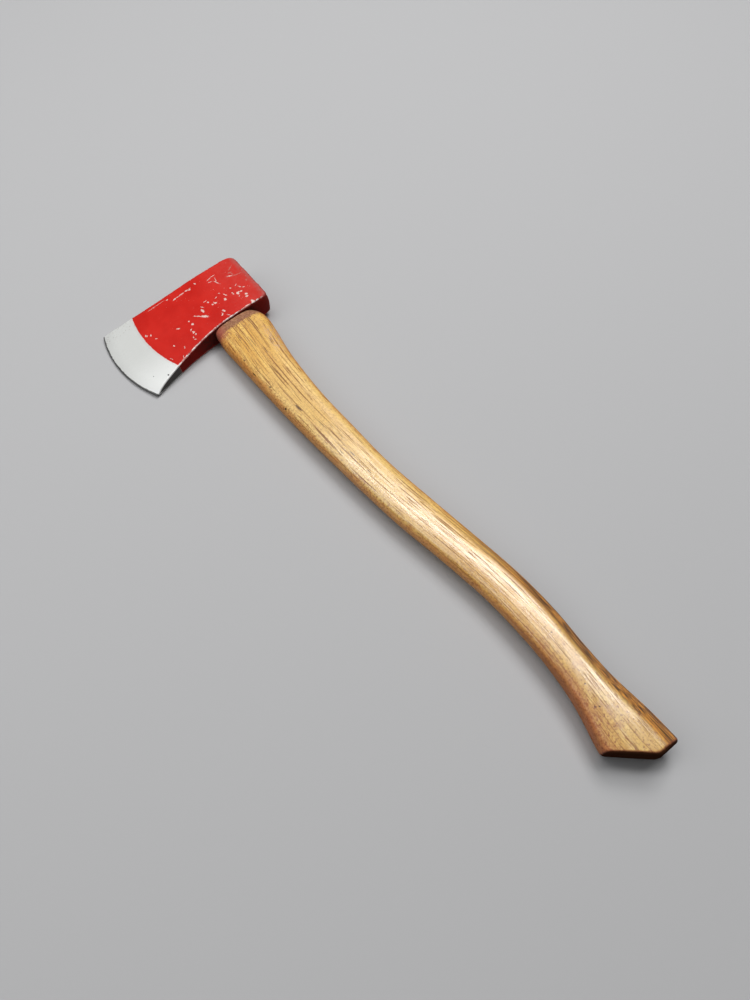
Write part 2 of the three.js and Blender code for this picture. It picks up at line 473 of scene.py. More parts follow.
def section_at(x):
    """The haft's, the bevel's or the tongue's section at some x."""
    if x <= RIDGE_X:
        return haft_section(x)
    if x >= TONGUE_START_X:
        return tongue_section(x)
    share = (x - RIDGE_X) / (TONGUE_START_X - RIDGE_X)
    wide = haft_section(x)
    section = {key: lerp(wide[key], SHOULDER_END[key], share ** 2) for key in wide}
    section["half"] = lerp(haft_section(RIDGE_X)["half"], SHOULDER_END["half"], share)
    return section


def section_point(section, turn):
    """y from the section's middle and z at a turn from 0 to 1 round it."""
    half_width = (section["high"] - section["low"]) / 2
    bit_side = math.cos(2 * math.pi * turn) > 0
    y, z = oval(turn, section["square_high"] if bit_side else section["square_low"])
    y, z = y * half_width, z * section["half"]
    c, s = math.cos(CHAMFER_ANGLE), math.sin(CHAMFER_ANGLE)
    reach = (half_width - section["chamfer"]) * s + section["half"] * c
    across = max(-y * s + abs(z) * c, 0) / reach
    shrink = (1 + across ** CHAMFER_SHARPNESS) ** (-1 / CHAMFER_SHARPNESS)
    shrink = lerp(1, shrink, section["chamfer_strength"])
    return y * shrink, z * shrink


def knob_end_x(y, z):
    """Where the knob's end lies: square across the poll side, slanted back to the bit side, and domed."""
    slanted = (y - KNOB_CORNER_Y) * KNOB_SLOPE
    dome = KNOB_DOME * max(1 - (z / DOME_HALF) ** 2, 0)
    return -soft_min(0, -slanted, KNOB_CORNER_BLEND) - dome


def haft_ring(distance, shrink=0.0):
    """A ring at some distance from the knob's end, which follows the end's slant near it."""
    ring = []
    ease = 1 - smoothstep(distance, 0, 75)
    for i in range(RING_SIDES):
        x = distance
        for _ in range(8):
            section = section_at(x)
            y, z = section_point(section, i / RING_SIDES)
            size = math.hypot(y, z)
            y, z = y * (1 - shrink / size), z * (1 - shrink / size)
            middle = (section["low"] + section["high"]) / 2
            x = distance + knob_end_x(middle + y, z) * ease
        waver = 0.12 * noise.noise(Vector((x * 0.012, y * 0.06, z * 0.06)))
        waver += 0.05 * noise.noise(Vector((x * 0.04, y * 0.15, z * 0.15 + 5)))
        if x > TONGUE_START_X - 2:
            waver = 0
        size = max(math.hypot(y, z), 1e-6)
        ring.append((x, middle + y * (1 + waver / size), z * (1 + waver / size)))
    return ring


def knob_end_rings():
    """Rings from the middle of the knob's end face out to its rim, over a slightly dished face."""
    rim = haft_ring(0, KNOB_END_RADIUS)
    middle_y = np.mean([y for _, y, _ in rim])
    rings = []
    for share in (0.04, 0.2, 0.36, 0.52, 0.68, 0.82, 0.93):
        ring = []
        for _, y, z in rim:
            y, z = lerp(middle_y, y, share), z * share
            dish = 0.25 * noise.noise(Vector((y * 0.12, z * 0.12, 2.2)))
            ring.append((knob_end_x(y, z) + dish * (1 - share), y, z))
        rings.append(ring)
    return rings


def make_haft():
    rings = knob_end_rings()
    for k in range(6, -1, -1):
        angle = math.pi / 2 * k / 6
        along, inward = 1 - math.sin(angle), 1 - math.cos(angle)
        rings.append(haft_ring(KNOB_END_RADIUS * along, KNOB_END_RADIUS * inward))
    stations = [*np.arange(4, 40, 1.5), *np.arange(40, RIDGE_X - 5, 2.2)]
    stations += [*np.linspace(RIDGE_X - 4, RIDGE_X - 0.4, 7)]
    stations += [*np.linspace(RIDGE_X + 0.4, TONGUE_START_X - 0.6, 16)]
    stations += [TONGUE_START_X - 0.2, TONGUE_START_X - 0.05, TONGUE_START_X]
    stations += [546, 552, 560, 570, 580, 590, 600, 608, TONGUE_END_X - 0.6]
    rings += [haft_ring(x) for x in stations]
    rings.append(haft_ring(TONGUE_END_X - 0.15, 0.15))
    rings.append(haft_ring(TONGUE_END_X, 0.6))
    haft = make_object("haft_hickory_turned", *skin(rings))
    cut(haft, plate("kerf", WOOD_WEDGE, EYE_MIDDLE_Y, False, True))
    for middle_y in STEEL_WEDGE_YS:
        cut(haft, plate("slot", STEEL_WEDGE, middle_y, True, True))
    smooth_shade(haft, 40)
    mark_haft(haft)
    return haft


def mark_haft(haft):
    """Stores each vertex's place with the haft straightened out, its side and its nearness to the end."""
    points = drawn_points(haft)
    grain = points.copy()
    side = np.zeros(len(points))
    rim = np.zeros(len(points))
    for i, (x, y, z) in enumerate(points):
        section = section_at(max(x, 0))
        middle = (section["low"] + section["high"]) / 2
        grain[i, 1] = y - middle
        side[i] = (y - middle) / ((section["high"] - section["low"]) / 2)
        rim[i] = 1 - min(max((x - knob_end_x(y, z)) / KNOB_RIM_REACH, 0), 1)
    put_attribute(haft, "grain", "FLOAT_VECTOR", grain)
    put_attribute(haft, "side", "FLOAT", side)
    put_attribute(haft, "rim", "FLOAT", rim)


# ---------------------------------------------------------------- wedges

WOOD_WEDGE = {"end": TONGUE_END_X, "depth": 44, "thick": 5, "tip": 1.4, "half": 21.8}
STEEL_WEDGE = {"end": TONGUE_END_X + 0.5, "depth": 17, "thick": 2.6, "tip": 0.8, "half": 6.5}
STEEL_WEDGE_YS = (EYE_MIDDLE_Y - 10.5, EYE_MIDDLE_Y + 10.5)


def plate(name, wedge, middle_y, upright, cutter):
    """A tapered plate driven in from the crown, or the slot for it, which runs on out of the tongue."""
    grow = SEAM if cutter else 0
    inner = wedge["end"] - wedge["depth"] - grow
    stations = [(inner, wedge["tip"] / 2 + grow), (wedge["end"], wedge["thick"] / 2 + grow)]
    if cutter:
        stations.append((wedge["end"] + 12, wedge["thick"] / 2 + grow))
    half = wedge["half"] + grow + (12 if cutter and not upright else 0)
    steps = 1 if cutter else 10
    rings = []
    for (x0, t0), (x1, t1) in zip(stations, stations[1:]):
        for k in range(steps + 1):
            share = k / steps
            x, t = lerp(x0, x1, share), lerp(t0, t1, share)
            ring = [(-half, -t), (half, -t), (half, t), (-half, t)]
            rings.append([
                (x, middle_y + (b if upright else a), (a if upright else b)) for a, b in ring
            ])
    return make_object(name, *skin(rings))


def make_wedge(name, wedge, middle_y, upright, edge_radius):
    """A wedge with broken edges and a hammered outer end."""
    made = plate(name, wedge, middle_y, upright, False)
    shape = bmesh.new()
    shape.from_mesh(made.data)
    sharp = [e for e in shape.edges if e.calc_face_angle(0) > 0.6]
    bmesh.ops.bevel(shape, geom=sharp, offset=edge_radius * MM, segments=3, profile=0.5, affect="EDGES",
                    clamp_overlap=True)
    bmesh.ops.triangulate(shape, faces=[f for f in shape.faces if len(f.verts) > 4])
    end = wedge["end"] * MM
    ends = [f for f in shape.faces if all(abs(v.co.x - end) < 0.3 * MM for v in f.verts)]
    end_edges = list(dict.fromkeys(e for f in ends for e in f.edges))
    bmesh.ops.subdivide_edges(shape, edges=end_edges, cuts=3, use_grid_fill=True)
    for vert in shape.verts:
        if vert.co.x > end - 0.3 * MM:
            blow = noise.noise(vert.co * 400 + Vector((0, 0, middle_y)))
            vert.co.x += 0.18 * MM * blow - 0.1 * MM
    bmesh.ops.recalc_face_normals(shape, faces=shape.faces)
    shape.to_mesh(made.data)
    shape.free()
    return made


# ---------------------------------------------------------------- materials


class Graph:
    """Short words for building a material's nodes."""

    def __init__(self, name):
        self.material = bpy.data.materials.new(name)
        self.material.use_nodes = True
        self.tree = self.material.node_tree
        self.shader = next(n for n in self.tree.nodes if n.type == "BSDF_PRINCIPLED")

    def node(self, kind, **settings):
        made = self.tree.nodes.new("ShaderNode" + kind)
        for key, value in settings.items():
            setattr(made, key, value)
        return made

    def feed(self, socket, value):
        if isinstance(value, bpy.types.NodeSocket):
            self.tree.links.new(value, socket)
        elif isinstance(value, (int, float)):
            socket.default_value = value
        else:
            value = tuple(value)
            socket.default_value = value if len(socket.default_value) == len(value) else (*value, 1)

    def math(self, operation, a, b=0.0, c=None):
        made = self.node("Math", operation=operation)
        self.feed(made.inputs[0], a)
        self.feed(made.inputs[1], b)
        if c is not None:
            self.feed(made.inputs[2], c)
        return made.outputs[0]

    def times(self, first, *others):
        """Values multiplied together."""
        for other in others:
            first = self.math("MULTIPLY", first, other)
        return first

    def most(self, first, *others):
        """The highest of some values."""
        for other in others:
            first = self.math("MAXIMUM", first, other)
        return first

    def rest(self, share):
        """What a share leaves of 1."""
        return self.math("SUBTRACT", 1.0, share)

    def uneven(self, value, noise, amount):
        """A value moved up and down by a noise."""
        return self.math("MULTIPLY_ADD", self.math("SUBTRACT", noise, 0.5), amount, value)

    def vector(self, operation, *inputs):
        made = self.node("VectorMath", operation=operation)
        for socket, value in zip(made.inputs, inputs):
            self.feed(socket, value)
        return made.outputs["Value" if operation in ("DISTANCE", "DOT_PRODUCT") else "Vector"]

    def attribute(self, name, output="Fac"):
        return self.node("Attribute", attribute_name=name).outputs[output]

    def split(self, vector):
        made = self.node("SeparateXYZ")
        self.feed(made.inputs[0], vector)
        return made.outputs

    def stretch(self, vector, scale, offset=(0, 0, 0)):
        made = self.node("Mapping")
        self.feed(made.inputs["Vector"], vector)
        made.inputs["Scale"].default_value = scale
        made.inputs["Location"].default_value = offset
        return made.outputs[0]

    def noise(self, vector, scale, detail=2.0, rough=0.5, warp=0.0):
        made = self.node("TexNoise")
        self.feed(made.inputs["Vector"], vector)
        made.inputs["Scale"].default_value = scale
        made.inputs["Detail"].default_value = detail
        made.inputs["Roughness"].default_value = rough
        made.inputs["Distortion"].default_value = warp
        return made.outputs["Fac"]

    def streaks(self, place, length, width, seed, detail=3, rough=0.6, warp=0.15):
        """Noise drawn out along the grain."""
        drawn_out = self.stretch(place, (1 / length, 1 / width, 1 / width), (seed, seed * 2, 0))
        return self.noise(drawn_out, 1, detail, rough, warp)

    def ramp(self, value, start, end, low=0.0, high=1.0):
        """A smooth step from low to high as a value goes from start to end."""
        made = self.node("MapRange", interpolation_type="SMOOTHSTEP")
        for socket, number in zip(made.inputs, (value, start, end, low, high)):
            self.feed(socket, number)
        return made.outputs[0]

    def mix(self, share, a, b):
        made = self.node("Mix", data_type="RGBA")
        self.feed(made.inputs[0], share)
        self.feed(made.inputs[6], a)
        self.feed(made.inputs[7], b)
        return made.outputs[2]

    def blend(self, share, a, b):
        made = self.node("Mix", data_type="FLOAT")
        self.feed(made.inputs[0], share)
        self.feed(made.inputs[2], a)
        self.feed(made.inputs[3], b)
        return made.outputs[0]

    def plan_distance(self, x, y, middle):
        """How far a point is from a middle as seen from above."""
        flat = self.node("CombineXYZ")
        self.feed(flat.inputs[0], x)
        self.feed(flat.inputs[1], y)
        return self.vector("DISTANCE", flat.outputs[0], (*middle, 0))

    def strokes(self, place, marks):
        """How near a point is to the nearest of some oval marks: 0 in its middle, 1 at its rim."""
        nearest = None
        for x, y, length, width, degrees in marks:
            c, s = math.cos(math.radians(degrees)), math.sin(math.radians(degrees))
            local = self.vector("SUBTRACT", place, (x, y, 0))
            along = self.vector("DOT_PRODUCT", local, (c / length, s / length, 0))
            across = self.vector("DOT_PRODUCT", local, (-s / width, c / width, 0))
            away = self.math("MULTIPLY_ADD", along, along, self.math("MULTIPLY", across, across))
            nearest = away if nearest is None else self.math("MINIMUM", nearest, away)
        return self.math("SQRT", nearest)

    def bump(self, height, distance, strength=1.0, under=None):
        made = self.node("Bump")
        self.feed(made.inputs["Height"], height)
        made.inputs["Strength"].default_value = strength
        made.inputs["Distance"].default_value = distance
        if under is not None:
            self.feed(made.inputs["Normal"], under)
        return made.outputs[0]

    def finish(self, **sockets):
        names = {"color": "Base Color", "metal": "Metallic", "rough": "Roughness", "normal": "Normal",
                 "coat": "Coat Weight", "coat_rough": "Coat Roughness", "specular": "Specular IOR Level",
                 "coat_normal": "Coat Normal", "coat_ior": "Coat IOR"}
        for key, value in sockets.items():
            self.feed(self.shader.inputs[names[key]], value)
        return self.material


# The chips and scratches that stand out on the upper cheek: x, y, half length, half width, degrees
CHIPS = [
    # the scrape in the middle of the cheek
    (568, 69, 5, 0.5, 44), (563, 64, 4, 1.3, 44), (570, 62, 2.5, 1.1, 10), (574, 60, 2, 0.4, 30),
    (578, 54, 2, 0.35, 95),
    # a broken line along the crown
    (603, 76, 2, 0.8, 100), (603, 72, 2.5, 0.4, 78), (603, 67, 3, 0.6, 90), (603, 61, 2, 0.7, 70),
    (602, 58, 1.5, 1.2, 110), (608, 82, 1.2, 0.8, 90), (610, 95, 10, 0.25, 88), (604, 50, 1.2, 0.8, 30),
    # crossed scratches near the poll
    (599, 36, 2.5, 0.3, 102), (600, 31, 3, 0.3, 88), (595, 37, 2.5, 0.35, 74), (594, 31, 4, 0.3, 168),
    (590, 32, 4, 0.45, 22), (588, 17, 2.5, 0.6, 60), (570, 17, 2, 0.35, 33), (567, 14, 1.5, 0.45, 77),
    # blows between the poll and the haft
    (564, 23, 2, 1.3, 20), (564, 19, 1.3, 0.8, 70), (558, 17, 1.5, 1.2, 60), (555, 18, 1.4, 1.1, 100),
    (546, 17, 2.5, 1.4, 28), (545, 24, 2.5, 0.8, 85), (566, 37, 1.5, 1.3, 0), (571, 34, 2.5, 0.5, 26),
    (569, 47, 1.5, 1, 60), (548, 45, 2, 0.4, 30),
    # toward the bit
    (570, 92, 2, 0.7, 53), (535, 108, 1.8, 1.1, 80), (538, 106, 2.5, 0.3, 150), (534, 111, 1.3, 0.7, 90),
    (556, 106, 1.3, 0.6, 25), (547, 99, 1.5, 0.3, 153), (576, 115, 1.6, 0.4, 54), (545, 116, 2, 0.3, 25),
]
# Groups of small chips: x, y, their spread both ways, and how many there are
CHIP_GROUPS = [
    (567, 25, 9, 7, 7), (557, 47, 5, 5, 5), (575, 45, 6, 8, 5), (567, 80, 3, 2, 3), (552, 84, 10, 2, 7),
    (583, 120, 4, 3, 3),
]


def small_chips():
    """Small chips strewn over their groups, in the same places on every run."""
    draw = random.Random(12)
    marks = []
    for x, y, spread_x, spread_y, count in CHIP_GROUPS:
        for _ in range(count):
            marks.append((
                x + draw.uniform(-spread_x, spread_x), y + draw.uniform(-spread_y, spread_y),
                draw.uniform(0.7, 1.5), draw.uniform(0.35, 0.8), draw.uniform(0, 180),
            ))
    return marks


# The arc where the enamel ends
PAINT_MIDDLE = (584, -1)
PAINT_RADIUS = 126
# Rubbed places where the enamel has gone dull and grey, not down to the steel
RUBS = [
    (589, 19, 1.7, 0.8, 60), (592, 15, 2, 0.6, 70), (589, 14, 1.6, 0.6, 10), (585, 10, 5, 0.5, 77),
    (573, 7, 1, 0.9, 0), (597, 11, 3.5, 0.5, 120),
]
# Pits in the bare bit
PITS = [(532, 128, 1, 0.8, 20), (541, 140, 0.5, 0.4, 0)]


def head_readings(g):
    """What the head's material reads at each point: its place, its wear and noises of three sizes."""
    place = g.attribute("drawn", "Vector")
    x, y, z = g.split(place)
    return SimpleNamespace(
        place=place, x=x, y=y, z=z, wear=g.attribute("wear"), wall=g.attribute("wall"),
        fine=g.noise(place, 1.3, 4, 0.6), middling=g.noise(place, 0.35, 3, 0.55),
        broad=g.noise(place, 0.05, 2, 0.5),
    )


def paint_edge(g, at):
    """Where the enamel ends: an arc behind the edge, a little ragged, and the spray beyond it."""
    line = g.math("SUBTRACT", PAINT_RADIUS, g.plan_distance(at.x, at.y, PAINT_MIDDLE))
    ragged = g.uneven(line, at.middling, 1.2)
    painted = g.ramp(ragged, -0.25, 0.35)
    spray = g.times(g.ramp(ragged, -3.5, 0.4), g.ramp(at.fine, 0.35, 0.75), 0.35)
    return painted, spray


def chips_and_rubs(g, at):
    """The chips on both cheeks, and the rubbed places on the upper one."""
    wobble = g.node("TexNoise")
    g.feed(wobble.inputs["Vector"], at.place)
    wobble.inputs["Scale"].default_value = 0.9
    shift = g.vector("MULTIPLY_ADD", wobble.outputs["Color"], (1.6, 1.6, 0), (-0.8, -0.8, 0))
    warped = g.vector("ADD", at.place, shift)
    # the lower cheek has chips like the upper one's, laid out the other way round
    turned = g.vector("MULTIPLY_ADD", warped, (-1, 1, 1), (UNDERSIDE_X + CROWN_X, 6, 0))
    chip_place = g.node("Mix", data_type="VECTOR")
    g.feed(chip_place.inputs[0], g.math("LESS_THAN", at.z, 0.0))
    g.feed(chip_place.inputs[4], warped)
    g.feed(chip_place.inputs[5], turned)
    near_chip = g.uneven(g.strokes(chip_place.outputs[1], CHIPS + small_chips()), at.fine, 1.9)
    on_cheek = g.ramp(at.wall, 0.4, 0.05)
    chips = g.times(g.ramp(near_chip, 1.15, 0.8), on_cheek)
    cells = g.node("TexVoronoi")
    g.feed(cells.inputs["Vector"], at.place)
    cells.inputs["Scale"].default_value = 0.42
    specks = g.times(g.ramp(cells.outputs["Distance"], 0.13, 0.07), g.ramp(at.y, 112, 60), on_cheek)
    specks = g.times(specks, g.ramp(g.noise(at.place, 0.11, 2, 0.5), 0.52, 0.66))
    near_rub = g.strokes(warped, RUBS)
    rubs = g.times(g.ramp(near_rub, 1.5, 0.5), g.ramp(at.fine, 0.35, 0.6), g.ramp(at.z, 1, 2), on_cheek)
    return g.most(chips, specks), rubs


def worn_and_highlit_rims(g, at):
    """The rim beside the haft is worn bare in a nearly unbroken line, the others only in places; the pale
    line is partly a painted highlight along the rim.
    """
    by_haft = g.times(g.ramp(at.x, 570, 556), g.ramp(at.y, 15, 55, 0.12, 0.25))
    mixed = g.math("ADD", g.times(at.middling, 0.6), g.times(at.fine, 0.4))
    worn = g.uneven(g.math("ADD", by_haft, at.wear), mixed, 1.6)
    return g.times(g.ramp(worn, 0.72, 0.86), g.ramp(at.z, -6, 4, 0.5, 1.0), g.ramp(at.y, 3, 12, 0.3, 1.0))


def struck_poll(g, at):
    """Bare places on the poll's face."""
    struck = g.math("MULTIPLY_ADD", at.fine, 0.35, g.noise(at.place, 0.16, 3, 0.6))
    return g.times(g.ramp(struck, 0.80, 0.86), at.wall, g.ramp(at.y, 3, 0.5))


def red_enamel(g, at, rubs):
    """Red, paler toward the poll as a painted sheen, dulled at its rim, and darkened on the walls and beside
    the haft as painted shade.
    """
    red = g.mix(g.ramp(at.broad, 0.3, 0.7), (0.50, 0.013, 0.008), (0.57, 0.019, 0.012))
    # painted sheen: the red turns paler and pinker toward the poll
    sheen_toward_poll = g.times(g.ramp(at.y, 60, 5), g.ramp(at.middling, 0.2, 0.8, 0.5, 1))
    red = g.mix(g.times(sheen_toward_poll, 0.3), red, (0.52, 0.09, 0.075))
    dulled = g.times(g.ramp(at.y, 8, 1.5), g.ramp(at.middling, 0.3, 0.6, 0.45, 1))
    red = g.mix(g.times(dulled, 0.7), red, (0.36, 0.105, 0.09))
    red = g.mix(g.times(rubs, 0.85), red, (0.36, 0.24, 0.20))
    # painted shade: the walls between the cheeks are darkened to a deep red
    red = g.mix(g.times(at.wall, 0.75), red, (0.13, 0.011, 0.008))
    # painted shade: the underside wall beside the haft, darkened almost to black
    shade_by_haft = g.times(at.wall, g.ramp(at.middling, 0.35, 0.6, 0.3, 1), g.ramp(at.x, 552, 546))
    shade_by_haft = g.times(shade_by_haft, g.ramp(at.y, 10, 24), g.ramp(at.y, 96, 72))
    red = g.mix(g.times(shade_by_haft, 0.8), red, (0.035, 0.022, 0.018))
    # painted shade: the underside wall toward the bit, darkened further
    bit_wall_shade = g.times(g.ramp(at.wall, 0.0, 0.5), g.ramp(at.y, 80, 110), g.ramp(at.x, 560, 550))
    red = g.mix(g.times(bit_wall_shade, 0.2), red, (0.03, 0.008, 0.007))
    # darker red near the rims
    darker_rims = g.ramp(g.uneven(at.wear, at.fine, 0.8), 0.25, 0.75)
    return g.mix(g.times(darker_rims, 0.45), red, (0.16, 0.01, 0.008))


def bare_steel(g, at, brushed, painted, spray, worn_and_highlit_rim):
    """The bare bit with painted shade on its walls and along its edge, and the primer and steel that show
    through the enamel.
    """
    steel = g.mix(brushed, (0.54, 0.55, 0.53), (0.63, 0.64, 0.62))
    # painted light: the bare steel turns paler toward the heel
    steel = g.mix(g.ramp(at.x, 575, 520), steel, (0.75, 0.76, 0.745))
    stained = g.ramp(g.noise(at.place, 0.5, 4, 0.7), 0.62, 0.74)
    steel = g.mix(g.times(stained, 0.5), steel, (0.45, 0.45, 0.43))
    chipped = g.mix(g.ramp(at.fine, 0.3, 0.7), (0.66, 0.42, 0.37), (0.84, 0.72, 0.66))
    patchy = g.ramp(g.noise(at.place, 0.12, 2, 0.6), 0.44, 0.56)
    # the pale worn rim is partly wear and partly a painted highlight
    chipped = g.mix(worn_and_highlit_rim, chipped, g.mix(patchy, (0.66, 0.30, 0.27), (0.97, 0.88, 0.85)))
    steel = g.mix(painted, steel, chipped)
    rust = g.times(g.ramp(g.noise(at.place, 0.7, 3, 0.6), 0.60, 0.70), g.ramp(at.x, 600, 611))
    steel = g.mix(g.times(rust, 0.8), steel, (0.11, 0.05, 0.03))
    # painted shade: the bare bit's walls darkened almost to black, less toward the crown
    side_shade = g.times(g.ramp(at.wall, 0.0, 0.4), g.rest(painted), g.ramp(at.x, 560, 590, 1.0, 0.5))
    steel = g.mix(g.times(side_shade, 0.92), steel, (0.035, 0.03, 0.03))
    # painted shade: an almost black line along the cutting edge
    from_middle = g.uneven(g.plan_distance(at.x, at.y, EDGE_MIDDLE), at.middling, 1.5)
    edge_shade = g.ramp(from_middle, EDGE_RADIUS - 1.7, EDGE_RADIUS - 0.9)
    steel = g.mix(g.times(edge_shade, 0.94), steel, (0.02, 0.02, 0.02))
    steel = g.mix(g.ramp(g.strokes(at.place, PITS), 1.2, 0.8), steel, (0.03, 0.03, 0.03))
    return g.mix(spray, steel, (0.62, 0.16, 0.13))


def enamel_and_steel():
    g = Graph("enamel_and_bare_steel")
    at = head_readings(g)
    painted, spray = paint_edge(g, at)
    chips, rubs = chips_and_rubs(g, at)
    worn_and_highlit_rim = worn_and_highlit_rims(g, at)
    enamel = g.times(painted, g.rest(g.most(chips, worn_and_highlit_rim, struck_poll(g, at))))
    brushed = g.noise(g.stretch(at.place, (0.5, 0.06, 0.5)), 3, 3, 0.6)
    steel = bare_steel(g, at, brushed, painted, spray, worn_and_highlit_rim)
    color = g.mix(enamel, steel, red_enamel(g, at, rubs))
    steel_rough = g.ramp(brushed, 0.2, 0.8, 0.42, 0.56)
    rough = g.blend(enamel, steel_rough, g.ramp(at.middling, 0.2, 0.8, 0.30, 0.42))
    rough = g.blend(at.wall, rough, 0.75)
    specular = g.times(g.blend(enamel, 0.45, 0.16), g.ramp(at.wall, 0, 1, 1.0, 0.25))
    peel = g.math("MULTIPLY_ADD", brushed, 0.4, g.noise(at.place, 0.9, 2, 0.5))
    normal = g.bump(peel, 0.00006, 0.6, under=g.bump(enamel, 0.00012, 1.0))
    return g.finish(color=color, metal=g.times(g.rest(enamel), 0.12), rough=rough, specular=specular,
                    normal=normal)


# Dark slits and specks in the haft's upper side: x, y from its middle, half length, half width, degrees
SLITS = [
    (415, 9, 5, 0.75, 3), (494, 20, 1.5, 0.5, 5), (475, 20, 3, 0.45, 5), (490, -3, 5, 0.3, 0),
    (452, 16, 1.5, 0.6, 30), (424, 18, 1.3, 0.9, 0), (414, 22, 1.6, 1.1, 30), (408, 24, 1.6, 1.1, 40),
    (388, 4, 5, 0.3, 0), (506, 3, 9, 0.25, 2), (517, 12, 7, 0.25, 0), (497, -14, 6, 0.25, 0),
    (466, 3, 8, 0.25, 3), (345, 3, 4, 0.35, 3), (352, 9, 3, 0.3, 0), (321, 4, 3, 0.4, 0),
    (116, 1, 0.8, 0.5, 30), (52, 8, 0.9, 0.6, 40), (71, 6, 0.7, 0.6, 0), (54, 11, 0.6, 0.5, 0),
]


def haft_readings(g):
    """What the haft's material reads at each point: its place along the grain, its side and noises."""
    place = g.attribute("grain", "Vector")
    x, _, z = g.split(place)
    side = g.attribute("side")
    return SimpleNamespace(
        place=place, x=x, z=z, side=side, around=g.math("ABSOLUTE", side),
        fibre=g.streaks(place, 26, 0.8, 23), blotch=g.noise(place, 0.045, 3, 0.6),
        speckle=g.noise(place, 0.5, 5, 0.75),
    )


def hickory_grain(g, at):
    """The wood's own colour, and its dark lines."""
    tone = g.streaks(at.place, 140, 9, 3)
    growth = g.streaks(at.place, 110, 3.4, 11)
    lines = g.streaks(at.place, 70, 1.25, 41, 2, 0.5, 0.1)
    dashes = g.streaks(at.place, 22, 0.95, 57, 2, 0.55, 0.05)
    pores = g.streaks(at.place, 8, 0.6, 91, 2, 0.6, 0)
    color = g.mix(g.ramp(tone, 0.3, 0.7), (0.74, 0.415, 0.08), (0.87, 0.56, 0.14))
    color = g.mix(g.times(g.ramp(growth, 0.46, 0.62), 0.5), color, (0.56, 0.265, 0.05))
    color = g.mix(g.times(g.ramp(at.fibre, 0.5, 0.7), 0.45), color, (0.36, 0.16, 0.035))
    color = g.mix(g.times(g.ramp(at.fibre, 0.46, 0.3), 0.45), color, (0.86, 0.60, 0.22))
    # painted sheen: paler wood along the middle of the haft
    sheen_mid_haft = g.times(g.ramp(at.x, 505, 430, 0.0, 0.4), g.ramp(at.x, 200, 330, 0.2, 1.0))
    color = g.mix(sheen_mid_haft, color, (0.84, 0.62, 0.25))
    color = g.mix(g.ramp(at.x, 150, 80, 0.0, 0.25), color, (0.46, 0.36, 0.14))
    dark_lines = g.times(g.ramp(lines, 0.57, 0.62), g.ramp(at.fibre, 0.38, 0.54, 0.2, 1.0))
    dark_dashes = g.times(g.ramp(dashes, 0.61, 0.67), g.ramp(at.blotch, 0.35, 0.6, 0.3, 1.0))
    dark_lines = g.times(g.most(dark_lines, dark_dashes), g.ramp(at.x, 60, 340, 0.8, 1.0))
    color = g.mix(g.times(dark_lines, 0.88), color, (0.185, 0.062, 0.008))
    open_pores = g.times(g.ramp(pores, 0.56, 0.66), g.ramp(at.blotch, 0.35, 0.6, 0.4, 1.0))
    return g.mix(g.times(open_pores, 0.22), color, (0.36, 0.14, 0.02)), dark_lines


def colour_sides(g, at, color):
    """Darker orange and brown along both sides, with the bit side's lighter tone as painted light, and
    stains streaky, patchy and spotted toward the knob.
    """
    # darker along both sides; the bit side's lighter tone and weaker darkening are painted light on that
    # edge
    patchy = g.uneven(at.around, g.noise(at.place, 0.16, 4, 0.65), 0.4)
    side_darkening = g.times(g.ramp(patchy, 0.74, 0.98), g.ramp(at.side, -0.2, 0.2, 0.75, 0.6))
    tone = g.mix(g.ramp(at.side, -0.2, 0.2), (0.48, 0.17, 0.025), (0.70, 0.25, 0.055))
    color = g.mix(side_darkening, color, tone)
    knob_side = g.uneven(g.uneven(at.side, at.blotch, 0.6), at.speckle, 1.1)
    knob_stain = g.times(g.ramp(knob_side, 0.4, 1.05), g.ramp(at.x, 170, 50))
    color = g.mix(g.times(knob_stain, 0.8), color, (0.43, 0.13, 0.06))
    poll_edge = g.times(g.ramp(at.side, -0.4, -0.62), g.ramp(at.x, 260, 150))
    bands = g.streaks(at.place, 80, 0.85, 83, 2, 0.5, 0.05)
    banded = g.mix(g.ramp(bands, 0.44, 0.54), (0.60, 0.25, 0.035), (0.05, 0.016, 0.004))
    color = g.mix(g.times(poll_edge, 0.95), color, banded)
    mottle = g.times(g.ramp(at.speckle, 0.49, 0.60), g.ramp(at.side, 0.45, 0.85))
    mottle = g.times(mottle, g.ramp(g.noise(at.place, 0.028, 2, 0.5), 0.35, 0.6, 0.4, 1.0))
    color = g.mix(g.times(mottle, 0.62), color, (0.34, 0.085, 0.012))
    patches = g.times(g.ramp(g.noise(at.place, 0.1, 5, 0.8), 0.42, 0.68), g.ramp(at.x, 150, 90))
    patches = g.times(patches, g.ramp(at.side, -0.45, 0.1))
    color = g.mix(g.times(patches, 0.6), color, (0.38, 0.15, 0.045))
    spots = g.times(g.ramp(at.speckle, 0.565, 0.65), g.ramp(at.x, 150, 80, 0.12, 0.8))
    return g.mix(spots, color, (0.16, 0.06, 0.02))


